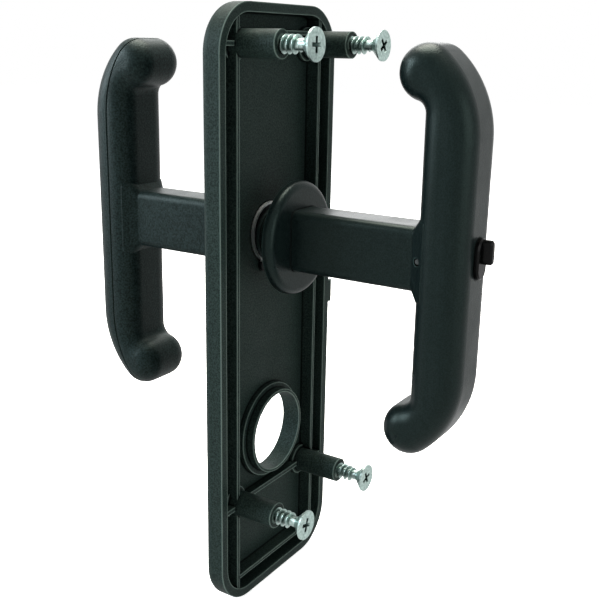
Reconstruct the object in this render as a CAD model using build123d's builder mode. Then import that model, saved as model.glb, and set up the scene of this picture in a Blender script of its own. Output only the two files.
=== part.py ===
"""Black plastic door handle set: two T-handles on one square spindle, and a long backplate.

The frame is the backplate's. Z runs up along the plate, X runs across it, and Y is the spindle axis.
The plate's rim lies on the door in the plane Y = 0. Its smooth front faces -Y, with the outside
handle before it, and its hollow back faces +Y, towards the door and the inside handle.
"""
import math
import os

from build123d import *

# Backplate: a shallow moulded tray with rounded corners
plate_width = 66.8
plate_top = 75.2
plate_bottom = -129.0
plate_depth = 7.5
plate_corner = 15.5
plate_edge = 2.6
rim_width = 3.1
floor_thickness = 2.5

# Front boss round the spindle, on which the outside flange turns
front_boss_radius = 22.0
front_boss_height = 2.5
front_boss_edge = 1.0

# Inside of the tray: a frame of ribs set in from the walls, a cross rib and the webs of the bosses
rib_offset = 23.7
end_rib_gap = 5.0
rib_thickness = 1.4
rib_below_rim = 0.2
cross_rib_below_rim = 2.0
web_thickness = 1.6

# Collar round the lock cylinder
cylinder_drop = 72.0
cylinder_hole = 28.5
collar_wall = 1.1
collar_base_wall = 3.0
collar_base_height = 2.0
cylinder_mouth = 0.6

# Tab left at the moulding gate, halfway up one long side
gate_length = 8.6
gate_reach = 2.0
gate_depth = 3.6

# Screw bosses, which reach through the door
screw_across = 21.0
screw_up = 62.8
screw_down = -92.3
boss_diameter = 8.8
boss_reach = 14.0
boss_root = 11.2
boss_root_height = 1.6
pilot_diameter = 4.4
pilot_depth = 17.0

# Countersunk screws, driven into the bosses from the far side of the door
screw_length = 25.0
screw_head = 10.0
screw_head_y = 25.9
head_land = 0.6
head_angle = 90.0

# T-handle: flange and neck
flange_diameter = 38.5
flange_thickness = 3.6
flange_edge = 2.4
neck_diameter = 18.0
neck_length = 8.0
neck_chamfer = 0.5
ring_groove_from_flange = 5.6
ring_groove_width = 1.0
ring_groove_depth = 0.6

# T-handle: stem, which flares into a saddle round the grip. Flare distances are from the grip's middle
stem_width = 15.0
stem_height = 20.5
stem_edge = 2.6
saddle_width = 21.4
saddle_height = 27.0
saddle_edge = 2.2
flare_start = 10.0
flare_high = 7.4
flare_high_width = 18.2
flare_wide = 5.3

# T-handle: grip, drawn from its middle plane
grip_from_flange = 57.3
grip_width = 23.2
grip_depth = 16.8
grip_edge = 7.0
bulb_radius = 8.5
bulb_inset = 9.0
bulb_height = 55.6
outer_bend = 34.0
inner_bend = 3.5
seam_bend = 40.0
seam_chamfer = 0.35

# Retaining ring of the outside handle
ring_radius = 10.4
ring_thickness = 1.0
ring_eccentricity = 0.8
ring_gap = 3.6
ring_eye_radius = 2.1
ring_eye_hole = 1.6
ring_eye_drop = 10.2
ring_eye_offset = 3.6

# Square spindle, held by a dowel pin in the inside handle
spindle_size = 8.0
spindle_chamfer = 0.6
spindle_end = 53.5
pin_from_flange = 49.8
pin_diameter = 2.5
pin_chamfer = 0.4
pin_length = 15.8
pin_reach = 8.3

# Thumb-turn in the inside handle
turn_foot_height = 12.8
turn_foot_width = 6.8
turn_foot_rise = 1.7
turn_foot_thickness = 1.3
turn_foot_edge = 0.5
turn_wing_height = 7.6
turn_wing_thickness = 2.6
turn_wing_middle = 4.0
turn_wing_rise = 4.5
turn_wing_edge = 0.6
turn_stub = 6.0
turn_stub_length = 8.2
turn_hole_depth = 8.4
turn_clip_depth = 5.0
turn_clip_width = 0.8
turn_clip_radius = 4.2
turn_clip_groove = 0.6
turn_clip_mouth = 3.6
turn_clip_play = 0.1

# Fits
running_gap = 0.05
face_gap = 0.3

plate_height = plate_top - plate_bottom
plate_middle = (plate_top + plate_bottom) / 2
plate_front = -plate_depth
floor_y = plate_front + floor_thickness
tray_depth = -floor_y
boss_places = {
    "top_near": (screw_across, screw_up),
    "top_far": (-screw_across, screw_up),
    "bottom_near": (screw_across, screw_down),
    "bottom_far": (-screw_across, screw_down),
}
neck_radius = neck_diameter / 2
outside_flange_y = plate_front - front_boss_height - face_gap
neck_meeting_y = outside_flange_y + neck_length
inside_flange_y = neck_meeting_y + neck_length

os.makedirs("parts", exist_ok=True)


def door_plane(y):
    """Plane parallel to the door at height y: its x is +X, its y is +Z and it extrudes towards -Y."""
    return Plane.XZ.offset(-y)


def finish(builder, name):
    """Give a finished piece its name and write it."""
    builder.part.label = name
    export_step(builder.part, f"parts/{name}.step")


# Backplate, one moulding
with BuildPart() as backplate:
    # outer block, rounded along its front edge, with the boss round the spindle
    with BuildSketch(door_plane(0)):
        with Locations((0, plate_middle)):
            RectangleRounded(plate_width, plate_height, plate_corner)
    extrude(amount=plate_depth)
    fillet(backplate.faces().sort_by(Axis.Y)[0].edges(), plate_edge)
    with BuildSketch(door_plane(plate_front)):
        Circle(front_boss_radius)
    extrude(amount=front_boss_height)
    chamfer(backplate.faces().sort_by(Axis.Y)[0].edges(), front_boss_edge)

    # hollow of the tray
    with BuildSketch(door_plane(0)):
        with Locations((0, plate_middle)):
            RectangleRounded(
                plate_width - 2 * rim_width, plate_height - 2 * rim_width, plate_corner - rim_width
            )
    extrude(amount=tray_depth, mode=Mode.SUBTRACT)

    # ribs beside the side walls and across both ends
    end_rib_spread = plate_height - 2 * rim_width - 2 * end_rib_gap - rib_thickness
    with BuildSketch(door_plane(-rib_below_rim)):
        with Locations((-rib_offset, plate_middle), (rib_offset, plate_middle)):
            Rectangle(rib_thickness, plate_height - 2 * rim_width)
        with Locations((0, plate_middle)):
            with GridLocations(0, end_rib_spread, 1, 2):
                Rectangle(2 * rib_offset, rib_thickness)
    extrude(amount=tray_depth - rib_below_rim)

    # cross rib between the lower bosses
    with BuildSketch(door_plane(-cross_rib_below_rim)):
        with Locations((0, screw_down)):
            Rectangle(2 * screw_across, web_thickness)
    extrude(amount=tray_depth - cross_rib_below_rim)

    # a web from each boss to the side wall
    web_length = plate_width / 2 - rim_width / 2 - screw_across
    with BuildSketch(door_plane(-rib_below_rim)):
        for across, up in boss_places.values():
            with Locations((math.copysign(screw_across + web_length / 2, across), up)):
                Rectangle(web_length, web_thickness)
    extrude(amount=tray_depth - rib_below_rim)

    # screw bosses, each with a stouter root
    with BuildSketch(door_plane(boss_reach)):
        with Locations(*boss_places.values()):
            Circle(boss_diameter / 2)
    extrude(amount=boss_reach - floor_y)
    with BuildSketch(door_plane(floor_y + boss_root_height)):
        with Locations(*boss_places.values()):
            Circle(boss_root / 2)
    extrude(amount=boss_root_height)

    # collar of the lock cylinder: a thin tube on a broader base
    with BuildSketch(door_plane(0)):
        with Locations((0, -cylinder_drop)):
            Circle(cylinder_hole / 2 + collar_wall)
    extrude(amount=tray_depth)
    with BuildSketch(door_plane(floor_y + collar_base_height)):
        with Locations((0, -cylinder_drop)):
            Circle(cylinder_hole / 2 + collar_base_wall)
    extrude(amount=collar_base_height)
    with BuildSketch(door_plane(0)):
        with Locations((0, -cylinder_drop)):
            Circle(cylinder_hole / 2)
    extrude(amount=plate_depth, mode=Mode.SUBTRACT)
    front_face = backplate.faces().filter_by(Axis.Y).sort_by(Axis.Y)[1]
    cylinder_edge = front_face.inner_wires().sort_by(Axis.Z)[0].edges()
    chamfer(cylinder_edge, cylinder_mouth)

    # bore of the spindle neck
    with BuildSketch(door_plane(floor_y)):
        Circle(neck_radius + running_gap)
    extrude(amount=floor_thickness + front_boss_height, mode=Mode.SUBTRACT)

    # pilot holes of the screws
    with BuildSketch(door_plane(boss_reach)):
        with Locations(*boss_places.values()):
            Circle(pilot_diameter / 2)
    extrude(amount=pilot_depth, mode=Mode.SUBTRACT)

    # tab left at the gate
    with BuildSketch(Plane.YZ.offset(-plate_width / 2)):
        with Locations((-gate_depth / 2, plate_middle)):
            Trapezoid(gate_length, gate_depth, 75, rotation=90)
    extrude(amount=-gate_reach)
finish(backplate, "backplate")


# Grip of a handle, seen from the side: a bar with a bulb bent in at each end. The outer bend
# touches the bulb from outside, which fixes where it starts along the bar.
grip_outer = grip_depth / 2
bend_across = outer_bend - grip_outer - bulb_inset
bend_along = math.sqrt((outer_bend - bulb_radius) ** 2 - bend_across**2)
bend_start = bulb_height - bend_along
bend_turn = math.degrees(math.atan2(bend_along, bend_across))
notch_height = bulb_height - math.sqrt(bulb_radius**2 - (bulb_inset - grip_outer) ** 2)
grip_plane = Plane((0, grip_from_flange, 0), x_dir=(0, 1, 0), z_dir=(1, 0, 0))

with BuildPart() as grip:
    with BuildSketch(grip_plane) as side_view:
        with BuildLine():
            bend = CenterArc((grip_outer - outer_bend, bend_start), outer_bend, 0, bend_turn)
            Polyline(
                bend @ 1,
                (-bulb_inset, bulb_height),
                (-grip_outer, bulb_height),
                (-grip_outer, 0),
                (grip_outer, 0),
                bend @ 0,
            )
        make_face()
        with Locations((-bulb_inset, bulb_height)):
            Circle(bulb_radius)
        notch = side_view.vertices().sort_by_distance((-grip_outer, notch_height, 0))[0]
        fillet(notch, inner_bend)
        mirror(about=Plane.XZ)
    extrude(amount=grip_width / 2, both=True)
    fillet(grip.faces().filter_by(Axis.X).edges(), grip_edge)

# Space outside the seam, along which the grip's two halves meet
with BuildPart() as outside_seam:
    with BuildSketch(grip_plane):
        with BuildLine():
            seam = CenterArc((-seam_bend, bend_start), seam_bend, 0, bend_turn)
            Polyline(
                seam @ 1,
                (grip_depth, (seam @ 1).Y),
                (grip_depth, 0),
                (0, 0),
                seam @ 0,
            )
        make_face()
        mirror(about=Plane.XZ)
    extrude(amount=grip_width, both=True)


def seam_border(half):
    """Edges round the face along which a half of the grip meets the other half."""
    bend_axis_y = grip_from_flange - seam_bend
    seam_faces = ShapeList()
    for face in half.faces():
        point = face.center()
        beyond_bend = abs(point.Z) - bend_start
        on_flat = beyond_bend < 0 and abs(point.Y - grip_from_flange) < seam_chamfer
        from_axis = math.hypot(point.Y - bend_axis_y, beyond_bend)
        on_bend = beyond_bend > 0 and abs(from_axis - seam_bend) < 2 * seam_chamfer
        if abs(point.X) < seam_chamfer and (on_flat or on_bend):
            seam_faces.append(face)
    edges = [edge for face in seam_faces for edge in face.edges()]
    return [edge for edge in edges if sum(edge.is_same(other) for other in edges) == 1]


def make_handle(name):
    """Handle moulding, from the rear of its flange at Y = 0: neck, flange, stem and the whole grip."""
    with BuildPart() as handle:
        # neck and flange, turned about the spindle axis
        with BuildSketch(Plane.XY):
            Rectangle(flange_diameter / 2, flange_thickness, align=(Align.MIN, Align.MIN))
            Rectangle(neck_radius, neck_length, align=(Align.MIN, Align.MAX))
            with Locations((neck_radius, -ring_groove_from_flange)):
                Rectangle(
                    2 * ring_groove_depth,
                    ring_groove_width,
                    align=(Align.CENTER, Align.MAX),
                    mode=Mode.SUBTRACT,
                )
        revolve(axis=Axis.Y)
        chamfer(handle.edges().filter_by(GeomType.CIRCLE).sort_by(Axis.Y)[0], neck_chamfer)
        fillet(handle.edges().filter_by(GeomType.CIRCLE).sort_by(Axis.Y)[-1], flange_edge)

        # stem, which flares up first and then sideways into the saddle
        with BuildSketch(door_plane(grip_from_flange)):
            RectangleRounded(stem_width, stem_height, stem_edge)
        extrude(amount=grip_from_flange - flange_thickness / 2)
        with BuildSketch(door_plane(grip_from_flange - flare_start)):
            RectangleRounded(stem_width, stem_height, stem_edge)
        with BuildSketch(door_plane(grip_from_flange - flare_high)):
            RectangleRounded(flare_high_width, saddle_height, saddle_edge)
        with BuildSketch(door_plane(grip_from_flange - flare_wide)):
            RectangleRounded(saddle_width, saddle_height, saddle_edge)
        loft(ruled=True)
        with BuildSketch(door_plane(grip_from_flange)):
            RectangleRounded(saddle_width, saddle_height, saddle_edge)
        extrude(amount=flare_wide)

        add(grip.part)

        # blind square hole of the spindle
        with BuildSketch(door_plane(spindle_end)):
            Rectangle(spindle_size, spindle_size)
        extrude(amount=spindle_end + neck_length, mode=Mode.SUBTRACT)
    handle.part.label = name
    return handle.part


# Inside handle: one moulding, facing +Y, with the hole of the dowel pin and the seat of the thumb-turn
inside_place = Location((0, inside_flange_y, 0))
pin_y = inside_flange_y + pin_from_flange
pin_start = pin_reach - pin_length
grip_face_y = inside_flange_y + grip_from_flange + grip_outer
clip_face_y = grip_face_y - turn_clip_depth
with BuildPart() as inside_handle_body:
    add(make_handle("inside_handle_body").moved(inside_place))
    with BuildSketch(Plane.YZ.offset(pin_start)):
        with Locations((pin_y, 0)):
            Circle(pin_diameter / 2)
    extrude(amount=saddle_width / 2 - pin_start, mode=Mode.SUBTRACT)
    with BuildSketch(door_plane(grip_face_y)):
        Circle(turn_stub / 2 + running_gap)
    extrude(amount=turn_hole_depth, mode=Mode.SUBTRACT)
    with BuildSketch(door_plane(clip_face_y + turn_clip_play)):
        Circle(turn_clip_radius + turn_clip_play)
    extrude(amount=turn_clip_width + 2 * turn_clip_play, mode=Mode.SUBTRACT)
finish(inside_handle_body, "inside_handle_body")

# Outside handle: the same moulding turned round to face -Y, but with the outer half of its grip apart
outside_place = Location((0, outside_flange_y, 0), (0, 0, 180))
with BuildPart() as outside_body:
    add(make_handle("outside_handle_body"))
    add(outside_seam.part, mode=Mode.SUBTRACT)
    chamfer(seam_border(outside_body), seam_chamfer)
with BuildPart() as outside_cover:
    add(grip.part)
    add(outside_seam.part, mode=Mode.INTERSECT)
    chamfer(seam_border(outside_cover), seam_chamfer)
for half, name in ((outside_body, "outside_handle_body"), (outside_cover, "outside_grip_cover")):
    piece = half.part.moved(outside_place)
    piece.label = name
    export_step(piece, f"parts/{name}.step")


# Square spindle, from the bottom of one handle's hole to the other's
spindle_inside_end = inside_flange_y + spindle_end
spindle_outside_end = outside_flange_y - spindle_end
with BuildPart() as spindle:
    with BuildSketch(door_plane(spindle_inside_end)):
        Rectangle(spindle_size, spindle_size)
    extrude(amount=spindle_inside_end - spindle_outside_end)
    chamfer(spindle.faces().filter_by(Axis.Y).edges(), spindle_chamfer)
    with BuildSketch(Plane.YZ):
        with Locations((pin_y, 0)):
            Circle(pin_diameter / 2)
    extrude(amount=spindle_size, both=True, mode=Mode.SUBTRACT)
finish(spindle, "spindle")

# Dowel pin across the inside handle and the spindle, with chamfered ends
with BuildPart() as cross_pin:
    with BuildSketch(Plane.YZ.offset(pin_start)):
        with Locations((pin_y, 0)):
            Circle(pin_diameter / 2)
    extrude(amount=pin_length)
    chamfer(cross_pin.faces().filter_by(Axis.X).edges(), pin_chamfer)
finish(cross_pin, "cross_pin")

# Retaining ring in the neck's groove, behind the plate's floor: broad at the top, with two eyes below
groove_y = outside_flange_y + ring_groove_from_flange + ring_groove_width
groove_radius = neck_radius - ring_groove_depth
with BuildPart() as retaining_ring:
    with BuildSketch(door_plane(groove_y)):
        with Locations((0, ring_eccentricity)):
            Circle(ring_radius)
        with Locations(*[(x, -ring_eye_drop) for x in (-ring_eye_offset, ring_eye_offset)]):
            Circle(ring_eye_radius)
        Circle(groove_radius, mode=Mode.SUBTRACT)
        Rectangle(ring_gap, 2 * ring_radius, align=(Align.CENTER, Align.MAX), mode=Mode.SUBTRACT)
        with Locations(*[(x, -ring_eye_drop) for x in (-ring_eye_offset, ring_eye_offset)]):
            Circle(ring_eye_hole / 2, mode=Mode.SUBTRACT)
    extrude(amount=ring_thickness)
finish(retaining_ring, "retaining_ring")

# Thumb-turn: oblong foot with a one-sided wing on the grip's face, and a stub in the grip
turn_base_y = grip_face_y + face_gap
turn_face_y = turn_base_y + turn_foot_thickness
with BuildPart() as thumb_turn:
    with BuildSketch(door_plane(turn_face_y)):
        with Locations((0, turn_foot_rise)):
            SlotOverall(turn_foot_height, turn_foot_width, rotation=90)
    extrude(amount=turn_foot_thickness)
    chamfer(thumb_turn.faces().sort_by(Axis.Y)[-1].edges(), turn_foot_edge)
    with BuildSketch(door_plane(turn_base_y + turn_wing_rise)):
        with Locations((0, turn_wing_middle)):
            SlotOverall(turn_wing_height, turn_wing_thickness, rotation=90)
    extrude(amount=turn_wing_rise)
    chamfer(thumb_turn.faces().sort_by(Axis.Y)[-1].edges(), turn_wing_edge)
    with BuildSketch(door_plane(turn_base_y)):
        Circle(turn_stub / 2)
    extrude(amount=face_gap + turn_stub_length)
    with BuildSketch(door_plane(clip_face_y)):
        Circle(turn_stub / 2)
        Circle(turn_stub / 2 - turn_clip_groove, mode=Mode.SUBTRACT)
    extrude(amount=turn_clip_width, mode=Mode.SUBTRACT)
finish(thumb_turn, "thumb_turn")

# Open clip round the thumb-turn's stub, which springs into a groove in the grip
with BuildPart() as thumb_turn_clip:
    with BuildSketch(door_plane(clip_face_y)):
        Circle(turn_clip_radius)
        Circle(turn_stub / 2 - turn_clip_groove, mode=Mode.SUBTRACT)
        Rectangle(
            turn_clip_mouth, turn_clip_radius, align=(Align.CENTER, Align.MAX), mode=Mode.SUBTRACT
        )
    extrude(amount=turn_clip_width)
finish(thumb_turn_clip, "thumb_turn_clip")

# Countersunk screws, one in each boss
pilot_radius = pilot_diameter / 2
head_radius = screw_head / 2
cone_height = (head_radius - pilot_radius) / math.tan(math.radians(head_angle / 2))
screw_tip_y = screw_head_y - screw_length
for place, (across, up) in boss_places.items():
    with BuildPart() as screw:
        with BuildSketch(Plane((across, 0, up), x_dir=(1, 0, 0), z_dir=(0, 0, 1))):
            with BuildLine():
                Polyline(
                    (0, screw_tip_y),
                    (pilot_radius, screw_tip_y),
                    (pilot_radius, screw_head_y - head_land - cone_height),
                    (head_radius, screw_head_y - head_land),
                    (head_radius, screw_head_y),
                    (0, screw_head_y),
                    close=True,
                )
            make_face()
        revolve(axis=Axis((across, 0, up), (0, 1, 0)))
    finish(screw, f"screw_{place}")
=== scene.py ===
# %% [markdown]
# # A black door handle set
# The object is a pair of T-shaped handles on one square spindle, with a long hollow backplate
# between them. Nearly all of it is moulded plastic. The only bright parts are four countersunk
# screws, the ring that keeps the outside handle in the plate, and the end of the pin that holds the
# inside handle.
# The solids come ready made in one shared frame: +Z is up along the plate, and +Y runs along the
# spindle, from the outside handle to the inside one. This script gives them their finish, swaps the
# plain screws for threaded ones, and sets up the camera and the light.

# %% Load the solids and keep their box
import math

import bpy
from mathutils import Euler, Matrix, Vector


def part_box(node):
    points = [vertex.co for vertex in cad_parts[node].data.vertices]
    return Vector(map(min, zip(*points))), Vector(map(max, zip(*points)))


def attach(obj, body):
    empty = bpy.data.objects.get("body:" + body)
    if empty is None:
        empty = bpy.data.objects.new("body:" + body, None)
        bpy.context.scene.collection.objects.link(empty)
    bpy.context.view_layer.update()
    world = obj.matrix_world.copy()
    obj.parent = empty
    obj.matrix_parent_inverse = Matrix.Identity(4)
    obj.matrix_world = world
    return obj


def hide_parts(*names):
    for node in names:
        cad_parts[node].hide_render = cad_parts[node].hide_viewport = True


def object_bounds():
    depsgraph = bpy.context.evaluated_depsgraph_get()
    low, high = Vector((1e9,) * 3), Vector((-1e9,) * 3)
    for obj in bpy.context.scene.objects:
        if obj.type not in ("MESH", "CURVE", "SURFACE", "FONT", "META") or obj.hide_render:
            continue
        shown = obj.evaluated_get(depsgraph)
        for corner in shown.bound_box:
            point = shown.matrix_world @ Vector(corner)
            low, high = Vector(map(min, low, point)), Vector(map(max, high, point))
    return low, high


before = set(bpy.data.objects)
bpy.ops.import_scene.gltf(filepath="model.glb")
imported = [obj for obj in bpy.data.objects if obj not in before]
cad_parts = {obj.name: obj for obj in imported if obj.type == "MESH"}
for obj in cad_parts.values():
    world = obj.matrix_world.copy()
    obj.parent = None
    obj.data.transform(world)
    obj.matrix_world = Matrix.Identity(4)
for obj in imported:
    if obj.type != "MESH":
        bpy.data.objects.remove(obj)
cad_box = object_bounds()
MM = 0.001
print("nodes:", len(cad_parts))

# %% [markdown]
# ## Helpers for colours and nodes
# Colours are written as sRGB hex values, as a paint chart gives them, while shaders work in linear
# light. One function turns the first into the second. Another adds a node to a tree, sets its
# options, and then fills its inputs: a value is set on the socket, and another node's socket is
# linked to it.


# %% Colour and node helpers
def linear(hex_colour):
    """Linear RGBA of an sRGB hex colour."""
    channels = [int(hex_colour[i : i + 2], 16) / 255 for i in (1, 3, 5)]
    return (*[c / 12.92 if c <= 0.04045 else ((c + 0.055) / 1.055) ** 2.4 for c in channels], 1.0)


def add(tree, kind, inputs=None, **settings):
    """A new node of this kind with its settings. Its inputs are set or linked by name or number."""
    node = tree.nodes.new(kind)
    for key, value in settings.items():
        setattr(node, key, value)
    for key, value in (inputs or {}).items():
        if isinstance(value, bpy.types.NodeSocket):
            tree.links.new(value, node.inputs[key])
        else:
            node.inputs[key].default_value = value
    return node


def new_material(name):
    """An empty node material, with its tree and its output node."""
    material = bpy.data.materials.new(name)
    material.use_nodes = True
    material.node_tree.nodes.clear()
    return material, material.node_tree, add(material.node_tree, "ShaderNodeOutputMaterial")


print("white is", linear("#ffffff"))

# %% [markdown]
# ## Moulded polyamide
# The plate and the handles are glass-filled polyamide, a nylon, moulded in a tool whose steel was
# spark-eroded. That leaves a fine even grain full of tiny pits, which trap light: seen straight on
# the plastic is a deep, slightly green black, and only at a flat angle does it shine. So the
# specular level is set far below that of a smooth surface, and the roughness is middling.
# The real grain is about 0.1 to 0.3 mm. A pixel of the picture covers about a third of a
# millimetre, in which such a grain would vanish, so it is drawn coarser than it is, at 0.45 to
# 0.65 mm. A second, much larger noise makes the sheen uneven, as where the melt has flowed and
# cooled at different speeds. All patterns read Object coordinates, which are metres in the shared
# frame, so that a grain size in millimetres turns directly into a noise scale.
# No moulded edge is a perfect knife edge, so a Bevel node rounds the shading of each sharp one.
# Outer edges are painted a paler grey: a painted highlight, for the light that a rounded edge
# catches. An Ambient Occlusion node that looks inside the solid finds them: only near an outer
# edge does a short ray leave the solid again. A second one looks outwards and finds the inner
# corners, which are painted a plain black as painted shade, and made rougher there.

# %% Values that all the mouldings share
POLYAMIDE_IOR = 1.53
SHEEN_TINT = "#d2f5ea"
SHEEN_SPREAD = 0.06  # how far the patches move the roughness, either way
# The next tone is painted shade in inner corners, and the roughness goes up there too.
CORNER_SHADE_TONE = "#050707"
SHADED_CORNER_ROUGHNESS = 0.9
EDGE_REACH = 0.6 * MM  # length of the rays that look for outer edges
CORNER_REACH = 1.0 * MM  # length of the rays that look for inner corners

# A noise hovers round a half, and an occlusion value drops from one towards an edge or a corner.
# Each pair below is the value that counts as nothing and the one that counts as all.
PATCHES = (0.30, 0.70)
PITS = (0.36, 0.64)
# The third pair sets the painted highlight on outer edges, the fourth the painted shade in inner
# corners.
EDGE_HIGHLIGHT = (0.90, 0.55)
CORNER_SHADE = (0.88, 0.60)
print("edges are rubbed within", round(EDGE_REACH / MM, 1), "mm")


# %% A moulded, spark-eroded black plastic
def moulded_polyamide(name, tones, highlighted, grain, pit_depth, roughness, shine, flow, edge):
    """Black moulded nylon. grain, pit_depth, flow (the uneven patches) and edge are in mm."""
    material, tree, output = new_material(name)
    place = add(tree, "ShaderNodeTexCoord").outputs["Object"]
    patches = add(
        tree,
        "ShaderNodeTexNoise",
        {"Vector": place, "Scale": 1 / (flow * MM), "Detail": 3.0, "Roughness": 0.55},
    )
    pits = add(
        tree,
        "ShaderNodeTexNoise",
        {"Vector": place, "Scale": 1 / (grain * MM), "Detail": 2.0, "Roughness": 0.6},
    )
    sheen = add(
        tree,
        "ShaderNodeMapRange",
        {"Value": patches.outputs["Fac"], "From Min": PATCHES[0], "From Max": PATCHES[1],
         "To Min": roughness - SHEEN_SPREAD, "To Max": roughness + SHEEN_SPREAD},
    )
    speckle = add(
        tree,
        "ShaderNodeMapRange",
        {"Value": pits.outputs["Fac"], "From Min": PITS[0], "From Max": PITS[1]},
    )
    tone = add(
        tree,
        "ShaderNodeMix",
        {"Factor": speckle.outputs["Result"], "A": linear(tones[0]), "B": linear(tones[1])},
        data_type="RGBA",
    )

    # painted highlight on outer edges
    enclosed = add(
        tree, "ShaderNodeAmbientOcclusion", {"Distance": EDGE_REACH}, samples=8, inside=True
    )
    edge_highlight_mask = add(
        tree,
        "ShaderNodeMapRange",
        {"Value": enclosed.outputs["AO"], "From Min": EDGE_HIGHLIGHT[0], "From Max": EDGE_HIGHLIGHT[1]},
    )
    edge_lit_tone = add(
        tree,
        "ShaderNodeMix",
        {"Factor": edge_highlight_mask.outputs["Result"], "A": tone.outputs["Result"], "B": linear(highlighted)},
        data_type="RGBA",
    )

    # painted shade in inner corners, which are also made rougher
    open_air = add(tree, "ShaderNodeAmbientOcclusion", {"Distance": CORNER_REACH}, samples=8)
    corner_shade = add(
        tree,
        "ShaderNodeMapRange",
        {"Value": open_air.outputs["AO"], "From Min": CORNER_SHADE[0], "From Max": CORNER_SHADE[1]},
    )
    dulled = add(
        tree,
        "ShaderNodeMapRange",
        {"Value": corner_shade.outputs["Result"], "To Min": sheen.outputs["Result"],
         "To Max": SHADED_CORNER_ROUGHNESS},
    )
    corner_shaded_tone = add(
        tree,
        "ShaderNodeMix",
        {"Factor": corner_shade.outputs["Result"], "A": edge_lit_tone.outputs["Result"],
         "B": linear(CORNER_SHADE_TONE)},
        data_type="RGBA",
    )

    # soft edges and pits
    soft_edge = add(tree, "ShaderNodeBevel", {"Radius": edge * MM}, samples=6)
    relief = add(
        tree,
        "ShaderNodeBump",
        {"Height": pits.outputs["Fac"], "Distance": pit_depth * MM, "Strength": 1.0,
         "Normal": soft_edge.outputs["Normal"]},
    )
    surface = add(
        tree,
        "ShaderNodeBsdfPrincipled",
        {"Base Color": corner_shaded_tone.outputs["Result"], "Roughness": dulled.outputs["Result"],
         "Normal": relief.outputs["Normal"], "IOR": POLYAMIDE_IOR,
         "Specular IOR Level": shine, "Specular Tint": linear(SHEEN_TINT)},
    )
    tree.links.new(surface.outputs["BSDF"], output.inputs["Surface"])
    return material


# %% [markdown]
# ### The three mouldings
# They differ a little, as parts from different tools do. The plate is the mattest, the outside
# handle shows its grain most, and the inside handle, which hands have polished, is satin with only
# a faint grain. One function with named values makes all three, so that they stay one family.

# %% Plate, outside handle and inside handle
# The third colour of each is the painted highlight along its outer edges.
plate_plastic = moulded_polyamide(
    "spark_eroded_polyamide_plate",
    tones=("#0f1816", "#232f2c"), highlighted="#5a6a64",
    grain=0.55, pit_depth=0.05, roughness=0.54, shine=0.07, flow=14.0, edge=0.2,
)
outside_plastic = moulded_polyamide(
    "grained_polyamide_outside_handle",
    tones=("#020808", "#182323"), highlighted="#263330",
    grain=0.65, pit_depth=0.09, roughness=0.42, shine=0.12, flow=18.0, edge=0.12,
)
inside_plastic = moulded_polyamide(
    "satin_polyamide_inside_handle",
    tones=("#060e0e", "#111a1a"), highlighted="#243230",
    grain=0.45, pit_depth=0.05, roughness=0.33, shine=0.14, flow=12.0, edge=0.12,
)
print("plastics:", plate_plastic.name, outside_plastic.name, inside_plastic.name)

# %% [markdown]
# ## Acetal
# The thumb-turn is a small acetal moulding from a polished tool, so it is darker and shinier than
# the handles. One roughness all over would look like glass. A soft noise moves it up and down a
# little instead, as the swirls do that polishing leaves in a tool.

# %% Polished black acetal
ACETAL_IOR = 1.48
SWIRL = 2.5 * MM
acetal, acetal_tree, acetal_output = new_material("polished_black_acetal")
acetal_place = add(acetal_tree, "ShaderNodeTexCoord").outputs["Object"]
swirl = add(
    acetal_tree, "ShaderNodeTexNoise", {"Vector": acetal_place, "Scale": 1 / SWIRL, "Detail": 4.0}
)
acetal_gloss = add(
    acetal_tree,
    "ShaderNodeMapRange",
    {"Value": swirl.outputs["Fac"], "To Min": 0.16, "To Max": 0.30},
)
acetal_surface = add(
    acetal_tree,
    "ShaderNodeBsdfPrincipled",
    {"Base Color": linear("#050606"), "Roughness": acetal_gloss.outputs["Result"],
     "IOR": ACETAL_IOR, "Specular IOR Level": 0.10},
)
acetal_tree.links.new(acetal_surface.outputs["BSDF"], acetal_output.inputs["Surface"])
print("acetal:", acetal.name)

# %% [markdown]
# ## Zinc plate and spring steel
# The screws and the spindle are steel with a bright zinc plate, which is passivated and so faintly
# blue-green. The pin and the clip are hardened spring steel with a thin oil film: a darker grey,
# brushed by tumbling. Both are bare metal whose tone and gloss are cloudy and whose skin is finely
# scratched, so one function makes them. Real crystals and scratches are far too fine to show, so
# both are drawn coarser than they are: the clouds at 0.7 to 0.9 mm, and the scratches at 0.25 mm.
# Grooves, as between two turns of a thread, see little of the room. An Ambient Occlusion node
# finds them, and darkens their colour there: painted shade.

# %% Values that both metals share
SCRATCH = 0.25 * MM
GROOVE_REACH = 1.5 * MM  # length of the rays that look for grooves
# The next pair is the occlusion between which the grooves take on painted shade.
GROOVE_SHADING = (0.95, 0.50)  # occlusion that counts as open, and as the bottom of a groove
print("scratches are drawn", round(SCRATCH / MM, 2), "mm wide")


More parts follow.
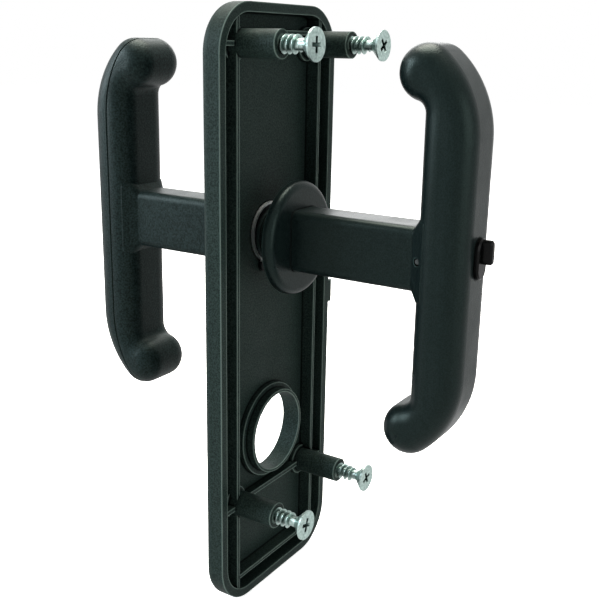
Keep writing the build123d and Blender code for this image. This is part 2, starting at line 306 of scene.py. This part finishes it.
# %% Plated and tumbled metals
def metal(name, tones, groove_shade, cloud, roughness, scratch_depth):
    """Scratched metal with painted shade in its grooves. cloud and scratch_depth are in mm."""
    material, tree, output = new_material(name)
    place = add(tree, "ShaderNodeTexCoord").outputs["Object"]
    clouds = add(
        tree, "ShaderNodeTexNoise", {"Vector": place, "Scale": 1 / (cloud * MM), "Detail": 3.0}
    )
    tone = add(
        tree,
        "ShaderNodeMix",
        {"Factor": clouds.outputs["Fac"], "A": linear(tones[0]), "B": linear(tones[1])},
        data_type="RGBA",
    )
    # painted shade: the colour darkens in the grooves
    open_air = add(tree, "ShaderNodeAmbientOcclusion", {"Distance": GROOVE_REACH}, samples=12)
    groove_shade_mask = add(
        tree,
        "ShaderNodeMapRange",
        {"Value": open_air.outputs["AO"], "From Min": GROOVE_SHADING[0], "From Max": GROOVE_SHADING[1]},
    )
    groove_shaded_tone = add(
        tree,
        "ShaderNodeMix",
        {"Factor": groove_shade_mask.outputs["Result"], "A": tone.outputs["Result"], "B": linear(groove_shade)},
        data_type="RGBA",
    )
    gloss = add(
        tree,
        "ShaderNodeMapRange",
        {"Value": clouds.outputs["Fac"], "To Min": roughness[0], "To Max": roughness[1]},
    )
    scratches = add(
        tree, "ShaderNodeTexNoise", {"Vector": place, "Scale": 1 / SCRATCH, "Detail": 2.0}
    )
    relief = add(
        tree,
        "ShaderNodeBump",
        {"Height": scratches.outputs["Fac"], "Distance": scratch_depth * MM, "Strength": 1.0},
    )
    surface = add(
        tree,
        "ShaderNodeBsdfPrincipled",
        {"Base Color": groove_shaded_tone.outputs["Result"], "Metallic": 1.0,
         "Roughness": gloss.outputs["Result"], "Normal": relief.outputs["Normal"]},
    )
    tree.links.new(surface.outputs["BSDF"], output.inputs["Surface"])
    return material


# The groove colour of each metal is the painted shade in its grooves.
zinc_plate = metal(
    "bright_zinc_plated_steel",
    tones=("#56706a", "#d6ebe5"), groove_shade="#3a4a46",
    cloud=0.9, roughness=(0.26, 0.42), scratch_depth=0.01,
)
spring_steel = metal(
    "oiled_spring_steel",
    tones=("#3c4040", "#5c6160"), groove_shade="#1c1f1f",
    cloud=0.7, roughness=(0.32, 0.48), scratch_depth=0.008,
)
print("metals:", zinc_plate.name, spring_steel.name)

# %% [markdown]
# ## The blackened ring
# The ring behind the plate's floor is blackened spring steel. Its black is rubbed off round its
# outer edge, where it slid through the tool that set it, so that an arc of bare metal shines there.
# A painted mask would need its own image. The distance from the ring's middle does the same: where
# it comes near the ring's radius, the metal is bare, and a little noise makes that border ragged.

# %% Blackened ring with a bare outer edge
BARE_REACH = 0.6 * MM  # how far in from the ring's edge the black is gone
RAGGEDNESS = 0.2 * MM
SMUDGE = 1.5 * MM
ring_low, ring_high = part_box("retaining_ring")
ring_radius = (ring_high.x - ring_low.x) / 2
ring_middle = (0, 0, ring_high.z - ring_radius)
ring_steel, ring_tree, ring_output = new_material("blackened_spring_steel_bare_rim")
ring_place = add(ring_tree, "ShaderNodeTexCoord").outputs["Object"]
from_middle = add(
    ring_tree, "ShaderNodeVectorMath", {0: ring_place, 1: ring_middle}, operation="SUBTRACT"
).outputs[0]
across = add(
    ring_tree, "ShaderNodeVectorMath", {0: from_middle, 1: (1, 0, 1)}, operation="MULTIPLY"
).outputs[0]
radius = add(
    ring_tree, "ShaderNodeVectorMath", {0: across}, operation="LENGTH"
).outputs["Value"]
smudge = add(ring_tree, "ShaderNodeTexNoise", {"Vector": ring_place, "Scale": 1 / SMUDGE})
ragged = add(
    ring_tree,
    "ShaderNodeMath",
    {0: smudge.outputs["Fac"], 1: RAGGEDNESS, 2: radius},
    operation="MULTIPLY_ADD",
).outputs[0]
bare = add(
    ring_tree, "ShaderNodeMath", {0: ragged, 1: ring_radius, 2: BARE_REACH}, operation="COMPARE"
).outputs[0]
ring_tone = add(
    ring_tree,
    "ShaderNodeMix",
    {"Factor": bare, "A": linear("#1c1f20"), "B": linear("#f4f8f6")},
    data_type="RGBA",
)
ring_gloss = add(ring_tree, "ShaderNodeMapRange", {"Value": bare, "To Min": 0.5, "To Max": 0.42})
ring_surface = add(
    ring_tree,
    "ShaderNodeBsdfPrincipled",
    {"Base Color": ring_tone.outputs["Result"], "Metallic": 1.0,
     "Roughness": ring_gloss.outputs["Result"]},
)
ring_tree.links.new(ring_surface.outputs["BSDF"], ring_output.inputs["Surface"])
print("ring radius", round(ring_radius / MM, 2), "mm")

# %% [markdown]
# ## Which solid has which finish
# Each solid that came with the frame keeps its shape and only gets a material in its slot.

# %% Finish the solids
finishes = {
    "backplate": plate_plastic,
    "inside_handle_body": inside_plastic,
    "outside_handle_body": outside_plastic,
    "outside_grip_cover": outside_plastic,
    "thumb_turn": acetal,
    "thumb_turn_clip": spring_steel,
    "spindle": zinc_plate,
    "cross_pin": spring_steel,
    "retaining_ring": ring_steel,
}
for node, material in finishes.items():
    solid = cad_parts[node]
    solid.data.materials.clear()
    solid.data.materials.append(material)
print("finished", len(finishes), "solids")

# %% [markdown]
# ## The screws
# The four screws are alike: 25 mm plastic-cutting screws with a coarse single thread, a 90 degree
# countersunk head and a cross recess. The head is 10 mm wide, and next to it the photo shows a
# thread of 5.8 mm. Such a screw could be turned and cut step by step as a mesh, but it is a thing
# that repeats and follows a rule, so a Geometry Nodes tree builds one from its sizes and sets it
# down on four points. The points are the middles of the screw heads, and they are read from the
# frame, as are the head's width and the screw's length.

# %% Sizes of a screw, and where each head is
SCREWS = ["screw_top_near", "screw_top_far", "screw_bottom_near", "screw_bottom_far"]
first_low, first_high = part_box(SCREWS[0])
SCREW_SIZES = {
    "Head Radius": (first_high.x - first_low.x) / 2,
    "Head Land": 0.6 * MM,
    "Core Radius": 1.8 * MM,
    "Thread Radius": 2.9 * MM,
    "Thread Pitch": 1.9 * MM,
    "Length": first_high.y - first_low.y,
    "Recess Width": 5.0 * MM,
    "Recess Depth": 2.6 * MM,
    "Overlap": 0.05 * MM,
}
head_points = []
for node in SCREWS:
    low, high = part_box(node)
    head_points.append(((low.x + high.x) / 2, high.y, (low.z + high.z) / 2))
for name, value in SCREW_SIZES.items():
    print(name, round(value / MM, 2), "mm")

# %% [markdown]
# ### The tree and its sums
# The screw is made standing on its tip, along Z, with the top of its head at zero, so that every
# height below it is negative. The tree takes the sizes above as its named inputs. All other sizes
# follow from them, so a table gives each as one sum of sizes and plain numbers, and a loop makes a
# Math node of each row. A row may use the rows above it.
# A cylinder is made round its middle, and a cone and a spiral on their foot, so the heights in the
# table are those of these points.

# %% Start the tree and work out the other sizes
SUMS = {
    # the head: a thin land over a cone, which reaches a little into it
    "Cone Depth": ("SUBTRACT", "Head Radius", "Core Radius"),
    "Cone Drop": ("MULTIPLY", "Cone Depth", -1.0),
    "Cone Height": ("MULTIPLY_ADD", "Head Land", -0.95, "Cone Drop"),
    "Land Height": ("MULTIPLY", "Head Land", -0.5),
    # the core: a rod that starts below the recess, and a blunt point that overlaps it
    "Point Length": ("MULTIPLY", "Core Radius", 1.6),
    "Point Height": ("MULTIPLY_ADD", "Length", -1.0, "Overlap"),
    "Tip Radius": ("MULTIPLY", "Core Radius", 0.15),
    "Rod Foot": ("SUBTRACT", "Length", "Point Length"),
    "Rod Top": ("MULTIPLY", "Recess Depth", 1.15),
    "Rod Length": ("SUBTRACT", "Rod Foot", "Rod Top"),
    "Rod Ends": ("ADD", "Rod Foot", "Rod Top"),
    "Rod Height": ("MULTIPLY", "Rod Ends", -0.5),
    # the thread: from the rod's foot to about a pitch below the cone. Root and crest are places
    # across its profile, where plus is towards the axis, so the root lies inside the core.
    "Thread Room": ("SUBTRACT", "Rod Foot", "Cone Depth"),
    "Thread Length": ("SUBTRACT", "Thread Room", "Thread Pitch"),
    "Thread Height": ("MULTIPLY", "Rod Foot", -1.0),
    "Turns": ("DIVIDE", "Thread Length", "Thread Pitch"),
    "Thread Depth": ("SUBTRACT", "Thread Radius", "Core Radius"),
    "Root": ("MULTIPLY", "Thread Depth", 0.3),
    "Crest": ("MULTIPLY", "Thread Depth", -1.0),
    "Root Above": ("MULTIPLY", "Thread Pitch", 0.21),
    "Root Below": ("MULTIPLY", "Root Above", -1.0),
    "Crest Above": ("MULTIPLY", "Thread Pitch", 0.05),
    "Crest Below": ("MULTIPLY", "Crest Above", -1.0),
    # the recess: half the diagonal of a square wedge, at its top and at its foot
    "Wedge Top": ("MULTIPLY", "Recess Width", 0.7072),
    "Wedge Foot": ("MULTIPLY", "Recess Width", 0.25),
    "Wedge Height": ("MULTIPLY_ADD", "Recess Depth", -1.0, "Overlap"),
}
screw_tree = bpy.data.node_groups.new("coarse_countersunk_screws", "GeometryNodeTree")
sockets = screw_tree.interface
sockets.new_socket("Head Points", in_out="INPUT", socket_type="NodeSocketGeometry")
for name, value in SCREW_SIZES.items():
    socket = sockets.new_socket(name, in_out="INPUT", socket_type="NodeSocketFloat")
    socket.default_value = value
sockets.new_socket("Material", in_out="INPUT", socket_type="NodeSocketMaterial")
sockets.new_socket("Screws", in_out="OUTPUT", socket_type="NodeSocketGeometry")
given = add(screw_tree, "NodeGroupInput").outputs

size = {name: given[name] for name in SCREW_SIZES}
for name, (operation, *values) in SUMS.items():
    terms = {number: size.get(value, value) for number, value in enumerate(values)}
    size[name] = add(screw_tree, "ShaderNodeMath", terms, operation=operation).outputs[0]
lift = {
    part: add(screw_tree, "ShaderNodeCombineXYZ", {"Z": size[part + " Height"]}).outputs[0]
    for part in ("Land", "Cone", "Rod", "Point", "Thread", "Wedge")
}
print("the tree works out", len(SUMS), "sizes")

# %% [markdown]
# ### Head and core
# The head and the core are each a turned shape, and could be one profile spun round. Two plain
# solids are simpler to read, and a union on the exact solver makes them one closed solid. They
# overlap by a hair, because a union of faces that only meet can leave a skin between them.


# %% Fuse the head, and fuse the core
def fused(tree, *parts):
    """One closed solid of these meshes, each moved by its own vector first."""
    union = add(tree, "GeometryNodeMeshBoolean", operation="UNION", solver="EXACT")
    for mesh, move in parts:
        moved = add(tree, "GeometryNodeTransform", {"Geometry": mesh, "Translation": move})
        tree.links.new(moved.outputs[0], union.inputs["Mesh 2"])
    return union.outputs["Mesh"]


HEAD_SIDES = 64
CORE_SIDES = 40
land = add(
    screw_tree,
    "GeometryNodeMeshCylinder",
    {"Vertices": HEAD_SIDES, "Radius": size["Head Radius"], "Depth": size["Head Land"]},
).outputs["Mesh"]
cone = add(
    screw_tree,
    "GeometryNodeMeshCone",
    {"Vertices": HEAD_SIDES, "Radius Top": size["Head Radius"],
     "Radius Bottom": size["Core Radius"], "Depth": size["Cone Depth"]},
).outputs["Mesh"]
rod = add(
    screw_tree,
    "GeometryNodeMeshCylinder",
    {"Vertices": CORE_SIDES, "Radius": size["Core Radius"], "Depth": size["Rod Length"]},
).outputs["Mesh"]
point = add(
    screw_tree,
    "GeometryNodeMeshCone",
    {"Vertices": CORE_SIDES, "Radius Top": size["Core Radius"],
     "Radius Bottom": size["Tip Radius"], "Depth": size["Point Length"]},
).outputs["Mesh"]
core = fused(screw_tree, (rod, lift["Rod"]), (point, lift["Point"]))
head = fused(screw_tree, (land, lift["Land"]), (cone, lift["Cone"]))
print("head of", HEAD_SIDES, "sides, core of", CORE_SIDES)

# %% [markdown]
# ### Thread
# A rolled thread is a ridge wound round the core. Here a four-sided profile, wide at its root and
# narrow at its crest, is swept along a spiral. The spiral's normals stand along Z, so that the
# profile doesn't twist on its way. Its scale shrinks at both ends, so that the thread runs out as a
# real one does.

# %% Sweep the thread along a spiral
STEPS_A_TURN = 40
FULL_FROM = 0.12  # share of the spiral by which the thread has its full size
FULL_TO = 0.94  # share from which it shrinks again
THIN_END = 0.05  # its scale at both ends
spiral = add(
    screw_tree,
    "GeometryNodeCurveSpiral",
    {"Resolution": STEPS_A_TURN, "Rotations": size["Turns"], "Start Radius": size["Core Radius"],
     "End Radius": size["Core Radius"], "Height": size["Thread Length"]},
).outputs["Curve"]
upright = add(
    screw_tree, "GeometryNodeSetCurveNormal", {"Curve": spiral}, mode="Z_UP"
).outputs[0]
share = add(screw_tree, "GeometryNodeSplineParameter").outputs["Factor"]
rise = add(
    screw_tree,
    "ShaderNodeMapRange",
    {"Value": share, "From Max": FULL_FROM, "To Min": THIN_END},
    clamp=True,
).outputs["Result"]
fall = add(
    screw_tree,
    "ShaderNodeMapRange",
    {"Value": share, "From Min": FULL_TO, "From Max": 1.0, "To Min": 1.0, "To Max": THIN_END},
    clamp=True,
).outputs["Result"]
full = add(screw_tree, "ShaderNodeMath", {0: rise, 1: fall}, operation="MINIMUM").outputs[0]
corners = {
    "Point 1": ("Root", "Root Below"),
    "Point 2": ("Root", "Root Above"),
    "Point 3": ("Crest", "Crest Above"),
    "Point 4": ("Crest", "Crest Below"),
}
profile = add(
    screw_tree,
    "GeometryNodeCurvePrimitiveQuadrilateral",
    {corner: add(screw_tree, "ShaderNodeCombineXYZ", {"X": size[x], "Y": size[y]}).outputs[0]
     for corner, (x, y) in corners.items()},
    mode="POINTS",
).outputs["Curve"]
ridge = add(
    screw_tree,
    "GeometryNodeCurveToMesh",
    {"Curve": upright, "Profile Curve": profile, "Scale": full, "Fill Caps": True},
).outputs["Mesh"]
thread = add(
    screw_tree, "GeometryNodeTransform", {"Geometry": ridge, "Translation": lift["Thread"]}
).outputs[0]
print("thread of", STEPS_A_TURN, "steps a turn")

# %% [markdown]
# ### Cross recess
# A punch presses the cross into the head. Two wedges across each other, narrower at the foot, are
# taken out of it. A wedge is a cone of four sides, turned so that its sides lie along X and Y and
# then squeezed to a quarter of its width. Each stands a hair above the head, so that the cut opens
# its top cleanly. Then the cut head, the core and the thread are joined into one screw.

# %% Cut the recess and join the screw
ARM_SQUEEZE = 0.25
cut = add(
    screw_tree, "GeometryNodeMeshBoolean", {"Mesh 1": head}, operation="DIFFERENCE", solver="EXACT"
)
for turn in (0, 90):
    block = add(
        screw_tree,
        "GeometryNodeMeshCone",
        {"Vertices": 4, "Radius Top": size["Wedge Top"], "Radius Bottom": size["Wedge Foot"],
         "Depth": size["Recess Depth"]},
    ).outputs["Mesh"]
    squared = add(
        screw_tree,
        "GeometryNodeTransform",
        {"Geometry": block, "Rotation": Euler((0, 0, math.radians(45)))},
    ).outputs[0]
    wedge = add(
        screw_tree,
        "GeometryNodeTransform",
        {"Geometry": squared, "Translation": lift["Wedge"], "Scale": (1.0, ARM_SQUEEZE, 1.0),
         "Rotation": Euler((0, 0, math.radians(turn)))},
    ).outputs[0]
    screw_tree.links.new(wedge, cut.inputs["Mesh 2"])
screw = add(screw_tree, "GeometryNodeJoinGeometry")
for mesh in (thread, core, cut.outputs["Mesh"]):
    screw_tree.links.new(mesh, screw.inputs[0])
print("a screw is joined of", len(screw.inputs[0].links), "meshes")

# %% [markdown]
# ### One screw on each point
# Each screw is turned over so that its head looks towards +Y, and then about its own axis, by
# another angle for each, because no two screws stop at the same one. Instances would be lost in the
# export, so they are realised before the material is set.

# %% Set the screws down and end the tree
TURN_BETWEEN = math.radians(37)
order = add(screw_tree, "GeometryNodeInputIndex").outputs[0]
spin = add(
    screw_tree, "ShaderNodeMath", {0: order, 1: TURN_BETWEEN}, operation="MULTIPLY"
).outputs[0]
stance = add(
    screw_tree, "ShaderNodeCombineXYZ", {"X": math.radians(-90), "Y": spin}
).outputs[0]
points = add(
    screw_tree, "GeometryNodeMeshToPoints", {"Mesh": given["Head Points"]}
).outputs[0]
instances = add(
    screw_tree,
    "GeometryNodeInstanceOnPoints",
    {"Points": points, "Instance": screw.outputs[0], "Rotation": stance},
).outputs[0]
realised = add(
    screw_tree, "GeometryNodeRealizeInstances", {"Geometry": instances}
).outputs[0]
finished = add(
    screw_tree, "GeometryNodeSetMaterial", {"Geometry": realised, "Material": given["Material"]}
).outputs[0]
add(screw_tree, "NodeGroupOutput", {"Screws": finished})
print("screw tree has", len(screw_tree.nodes), "nodes")

# %% [markdown]
# ### From tree to plain mesh
# The tree runs as a modifier on a mesh of four loose points. Its result is copied into a plain
# mesh, which is the piece that stays. It rides on the plate and stands for the four plain screws,
# which are hidden and still do their work in the physics. Its faces are small and stay flat, so
# that the thread's crest and the recess keep their sharp lines.


# %% Grow the screws and keep them as a plain mesh
def grown(name, points, tree, inputs):
    """Plain mesh object made by running a tree with these inputs on a mesh of loose points."""
    seed_mesh = bpy.data.meshes.new(name + "_points")
    seed_mesh.from_pydata(points, [], [])
    seed = bpy.data.objects.new(name + "_points", seed_mesh)
    bpy.context.scene.collection.objects.link(seed)
    modifier = seed.modifiers.new("grow", "NODES")
    modifier.node_group = tree
    for item in tree.interface.items_tree:
        if item.in_out == "INPUT" and item.name in inputs:
            modifier[item.identifier] = inputs[item.name]
    seed.update_tag()
    bpy.context.view_layer.update()
    evaluated = seed.evaluated_get(bpy.context.evaluated_depsgraph_get())
    mesh = bpy.data.meshes.new_from_object(evaluated)
    mesh.name = name
    piece = bpy.data.objects.new(name, mesh)
    bpy.context.scene.collection.objects.link(piece)
    seed.modifiers.remove(modifier)
    bpy.data.objects.remove(seed)
    return piece


screws = grown(
    "countersunk_screws", head_points, screw_tree, {**SCREW_SIZES, "Material": zinc_plate}
)
for polygon in screws.data.polygons:
    polygon.use_smooth = False
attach(screws, "plate")
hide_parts(*SCREWS)

# %% Measure the thread of the first screw
first_head = Vector(head_points[0])
screw_length = SCREW_SIZES["Length"]
from_head = [vertex.co - first_head for vertex in screws.data.vertices]
lower_half = [d for d in from_head if d.length < screw_length and d.y < -screw_length / 2]
thread_reach = max(math.hypot(d.x, d.z) for d in lower_half)
print("screws have", len(screws.data.polygons), "faces")
print("the thread reaches", round(thread_reach / MM, 2), "mm from its axis")

# %% [markdown]
# ## Floor and room
# The set stands on a white floor in a white room. Floor and room show as plain white to the camera
# and in reflections, while the light on the object comes from the lamps and a weaker world. Seen
# directly, the floor adds a glow to what the lamps give it, so that it is white wherever it is lit
# and a little darker in the shadow of the set. Plastic and metal mirror it as a plain white, never
# as anything brighter, so that the screws stay grey against it.


# %% White surroundings
def white_to_camera(tree, lit, white):
    """Shader that is white to the camera and in reflections, and lit for all other rays."""
    path = add(tree, "ShaderNodeLightPath").outputs
    seen = path["Is Camera Ray"]
    for ray in ("Is Glossy Ray", "Is Transmission Ray"):
        seen = add(
            tree, "ShaderNodeMath", {0: seen, 1: path[ray]}, operation="MAXIMUM"
        ).outputs[0]
    return add(tree, "ShaderNodeMixShader", {0: seen, 1: lit, 2: white}).outputs[0]


WHITE = linear("#ffffff")
ROOM_LIGHT = 0.22
world = bpy.data.worlds.new("white_studio")
bpy.context.scene.world = world
world.use_nodes = True
room = world.node_tree
room.nodes.clear()
room_output = add(room, "ShaderNodeOutputWorld")
dim = add(room, "ShaderNodeBackground", {"Color": linear("#eef2f2"), "Strength": ROOM_LIGHT})
bright = add(room, "ShaderNodeBackground", {"Color": WHITE, "Strength": 1.0})
room_shader = white_to_camera(room, dim.outputs[0], bright.outputs[0])
room.links.new(room_shader, room_output.inputs["Surface"])
print("the room lights the set at", ROOM_LIGHT)

# %% Paper of the floor
FLOOR_GLOW = 0.84
floor_material, floor_tree, floor_output = new_material("white_paper_floor")
paper = add(floor_tree, "ShaderNodeBsdfDiffuse", {"Color": linear("#f4f5f5")}).outputs[0]
glow = add(floor_tree, "ShaderNodeEmission", {"Color": WHITE, "Strength": FLOOR_GLOW}).outputs[0]
glowing = add(floor_tree, "ShaderNodeAddShader", {0: paper, 1: glow}).outputs[0]
mirrored = add(floor_tree, "ShaderNodeEmission", {"Color": WHITE, "Strength": 1.0}).outputs[0]
from_camera = add(floor_tree, "ShaderNodeLightPath").outputs["Is Camera Ray"]
shown = add(
    floor_tree, "ShaderNodeMixShader", {0: from_camera, 1: mirrored, 2: glowing}
).outputs[0]
floor_shader = white_to_camera(floor_tree, paper, shown)
floor_tree.links.new(floor_shader, floor_output.inputs["Surface"])
print("floor material:", floor_material.name)

# %% Floor just below the set
FLOOR_GAP = 0.5 * MM
FLOOR_HALF = 3.0  # metres
floor_z = cad_box[0].z - FLOOR_GAP
floor_mesh = bpy.data.meshes.new("floor")
floor_mesh.from_pydata(
    [(x * FLOOR_HALF, y * FLOOR_HALF, floor_z) for x, y in ((-1, -1), (1, -1), (1, 1), (-1, 1))],
    [],
    [(0, 1, 2, 3)],
)
floor = bpy.data.objects.new("floor", floor_mesh)
bpy.context.scene.collection.objects.link(floor)
floor_mesh.materials.append(floor_material)
print("floor at", round(floor_z / MM, 1), "mm")

# %% [markdown]
# ## Lamps
# Black plastic shows its shape almost only by what shines on it, so the lamps are large and soft: a
# warm one overhead for the tops of the grips and necks, a cool one on the outside handle's side, a
# weak fill on the inside handle's side, and one behind the set that lights its far edges.

# %% Soft lamps
LAMPS = {  # place, target and length of a side in metres, then watts and colour
    "overhead": ((-0.15, -0.12, 0.75), (0, 0, 0), 0.60, 17.0, "#fff8ee"),
    "left_window": ((0.38, -0.60, 0.25), (0, 0, -0.02), 0.40, 9.0, "#eef4ff"),
    "right_fill": ((0.15, 0.75, 0.15), (0, 0, 0), 0.50, 1.8, "#ffffff"),
    "behind": ((-0.85, -0.53, 0.45), (0, 0, 0), 0.60, 3.0, "#ffffff"),
}
for name, (place, target, side, watts, colour) in LAMPS.items():
    lamp_data = bpy.data.lights.new(name, "AREA")
    lamp_data.shape = "SQUARE"
    lamp_data.size = side
    lamp_data.energy = watts
    lamp_data.color = linear(colour)[:3]
    lamp = bpy.data.objects.new(name, lamp_data)
    lamp.location = place
    aim = Vector(target) - Vector(place)
    lamp.rotation_euler = aim.to_track_quat("-Z", "Y").to_euler()
    bpy.context.scene.collection.objects.link(lamp)
print("lamps:", ", ".join(LAMPS))

# %% [markdown]
# ## Camera
# The camera stands in front of the plate's hollow side, well over towards +X and a little above
# the spindle, and looks slightly down. Its place and lens were worked out from the straight edges
# in the photo. Its roll turns it about its own line of sight.

# %% Camera at the photo's view
CAMERA_PLACE = Vector((255.089, 169.453, 63.055)) * MM
CAMERA_AZIMUTH = math.radians(32.284)
CAMERA_PITCH = math.radians(15.641)
CAMERA_ROLL = math.radians(1.022)
FOCAL_PIXELS = 914.627
FRAME_PIXELS = 599
SENSOR_MM = 36.0

camera_data = bpy.data.cameras.new("camera")
camera_data.sensor_width = SENSOR_MM
camera_data.lens = FOCAL_PIXELS / FRAME_PIXELS * SENSOR_MM
camera_data.clip_start = 0.01
camera_data.clip_end = 20.0
camera = bpy.data.objects.new("camera", camera_data)
camera.location = CAMERA_PLACE
look = Vector((
    -math.cos(CAMERA_AZIMUTH) * math.cos(CAMERA_PITCH),
    -math.sin(CAMERA_AZIMUTH) * math.cos(CAMERA_PITCH),
    -math.sin(CAMERA_PITCH),
))
level = look.to_track_quat("-Z", "Y")
camera.rotation_mode = "QUATERNION"
camera.rotation_quaternion = level @ Euler((0, 0, CAMERA_ROLL)).to_quaternion()
bpy.context.scene.collection.objects.link(camera)
bpy.context.scene.camera = camera
bpy.context.scene.view_settings.view_transform = "Standard"
print("lens", round(camera_data.lens, 1), "mm")
